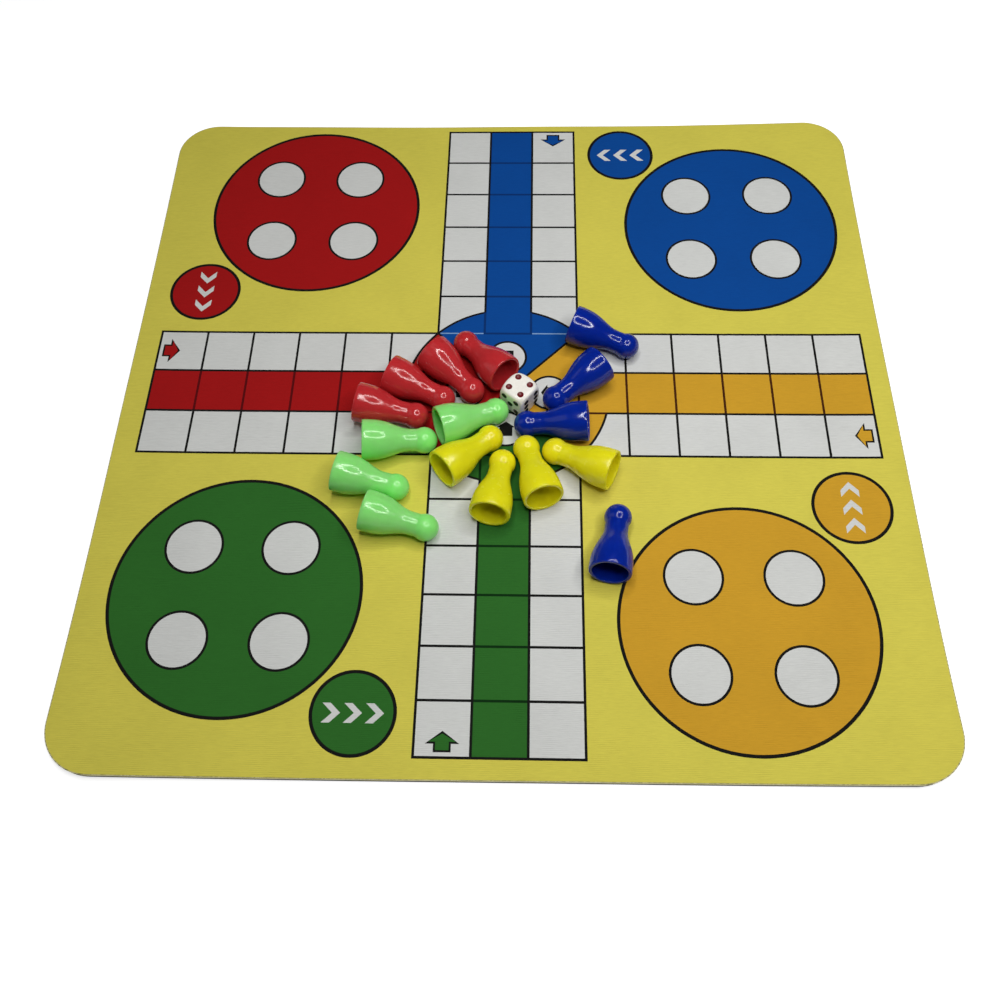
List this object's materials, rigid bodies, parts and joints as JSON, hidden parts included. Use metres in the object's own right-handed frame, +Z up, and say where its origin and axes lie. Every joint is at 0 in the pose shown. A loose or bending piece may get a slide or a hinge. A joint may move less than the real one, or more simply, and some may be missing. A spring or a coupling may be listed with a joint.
{
  "type": "ludo play mat set",
  "caption": "Nearly square ludo play mat of printed cloth on a rubber base, with hollow pawns in four colours lying on it and a small die with dimpled pips.",
  "frame": {"origin": "centre of the mat's underside, on the surface it lies on", "axes": "+Z up out of the printed face; +X along the arm that runs to the right in the picture, +Y along the arm that runs away from the camera"},
  "size_m": [0.2616, 0.2554, 0.0159],
  "materials": {
    "mat_rubber": "matte black foam rubber with a fine non-slip grain",
    "mat_cloth": "matte printed woven cloth, yellow ground with a four-colour ludo layout",
    "red_pawn_plastic": "glossy moulded red plastic",
    "green_pawn_plastic": "glossy moulded light green plastic",
    "yellow_pawn_plastic": "glossy moulded yellow plastic",
    "blue_pawn_plastic": "glossy moulded dark blue plastic",
    "die_plastic": "warm white plastic, painted dimples"
  },
  "bodies": {
    "mat": {"mat_rubber_base": "mat_rubber", "mat_printed_cloth": "mat_cloth"},
    "red_pawn_1": {"red_pawn_1": "red_pawn_plastic"},
    "red_pawn_2": {"red_pawn_2": "red_pawn_plastic"},
    "red_pawn_3": {"red_pawn_3": "red_pawn_plastic"},
    "red_pawn_4": {"red_pawn_4": "red_pawn_plastic"},
    "green_pawn_1": {"green_pawn_1": "green_pawn_plastic"},
    "green_pawn_2": {"green_pawn_2": "green_pawn_plastic"},
    "green_pawn_3": {"green_pawn_3": "green_pawn_plastic"},
    "green_pawn_4": {"green_pawn_4": "green_pawn_plastic"},
    "yellow_pawn_1": {"yellow_pawn_1": "yellow_pawn_plastic"},
    "yellow_pawn_2": {"yellow_pawn_2": "yellow_pawn_plastic"},
    "yellow_pawn_3": {"yellow_pawn_3": "yellow_pawn_plastic"},
    "yellow_pawn_4": {"yellow_pawn_4": "yellow_pawn_plastic"},
    "blue_pawn_1": {"blue_pawn_1": "blue_pawn_plastic"},
    "blue_pawn_2": {"blue_pawn_2": "blue_pawn_plastic"},
    "blue_pawn_3": {"blue_pawn_3": "blue_pawn_plastic"},
    "blue_pawn_4": {"blue_pawn_4": "blue_pawn_plastic"},
    "die": {"die": "die_plastic"}
  },
  "joints": [
    {"name": "red_pawn_1_lift", "type": "slide", "parent": "mat", "child": "red_pawn_1", "axis": [0, 0, 1], "range_m": [0, 0.04]},
    {"name": "red_pawn_2_lift", "type": "slide", "parent": "mat", "child": "red_pawn_2", "axis": [0, 0, 1], "range_m": [0, 0.04]},
    {"name": "red_pawn_3_lift", "type": "slide", "parent": "mat", "child": "red_pawn_3", "axis": [0, 0, 1], "range_m": [0, 0.04]},
    {"name": "red_pawn_4_lift", "type": "slide", "parent": "mat", "child": "red_pawn_4", "axis": [0, 0, 1], "range_m": [0, 0.04]},
    {"name": "green_pawn_1_lift", "type": "slide", "parent": "mat", "child": "green_pawn_1", "axis": [0, 0, 1], "range_m": [0, 0.04]},
    {"name": "green_pawn_2_lift", "type": "slide", "parent": "mat", "child": "green_pawn_2", "axis": [0, 0, 1], "range_m": [0, 0.04]},
    {"name": "green_pawn_3_lift", "type": "slide", "parent": "mat", "child": "green_pawn_3", "axis": [0, 0, 1], "range_m": [0, 0.04]},
    {"name": "green_pawn_4_lift", "type": "slide", "parent": "mat", "child": "green_pawn_4", "axis": [0, 0, 1], "range_m": [0, 0.04]},
    {"name": "yellow_pawn_1_lift", "type": "slide", "parent": "mat", "child": "yellow_pawn_1", "axis": [0, 0, 1], "range_m": [0, 0.04]},
    {"name": "yellow_pawn_2_lift", "type": "slide", "parent": "mat", "child": "yellow_pawn_2", "axis": [0, 0, 1], "range_m": [0, 0.04]},
    {"name": "yellow_pawn_3_lift", "type": "slide", "parent": "mat", "child": "yellow_pawn_3", "axis": [0, 0, 1], "range_m": [0, 0.04]},
    {"name": "yellow_pawn_4_lift", "type": "slide", "parent": "mat", "child": "yellow_pawn_4", "axis": [0, 0, 1], "range_m": [0, 0.04]},
    {"name": "blue_pawn_1_lift", "type": "slide", "parent": "mat", "child": "blue_pawn_1", "axis": [0, 0, 1], "range_m": [0, 0.04]},
    {"name": "blue_pawn_2_lift", "type": "slide", "parent": "mat", "child": "blue_pawn_2", "axis": [0, 0, 1], "range_m": [0, 0.04]},
    {"name": "blue_pawn_3_lift", "type": "slide", "parent": "mat", "child": "blue_pawn_3", "axis": [0, 0, 1], "range_m": [0, 0.04]},
    {"name": "blue_pawn_4_lift", "type": "slide", "parent": "mat", "child": "blue_pawn_4", "axis": [0, 0, 1], "range_m": [0, 0.04]},
    {"name": "die_lift", "type": "slide", "parent": "mat", "child": "die", "axis": [0, 0, 1], "range_m": [0, 0.04]}
  ]
}
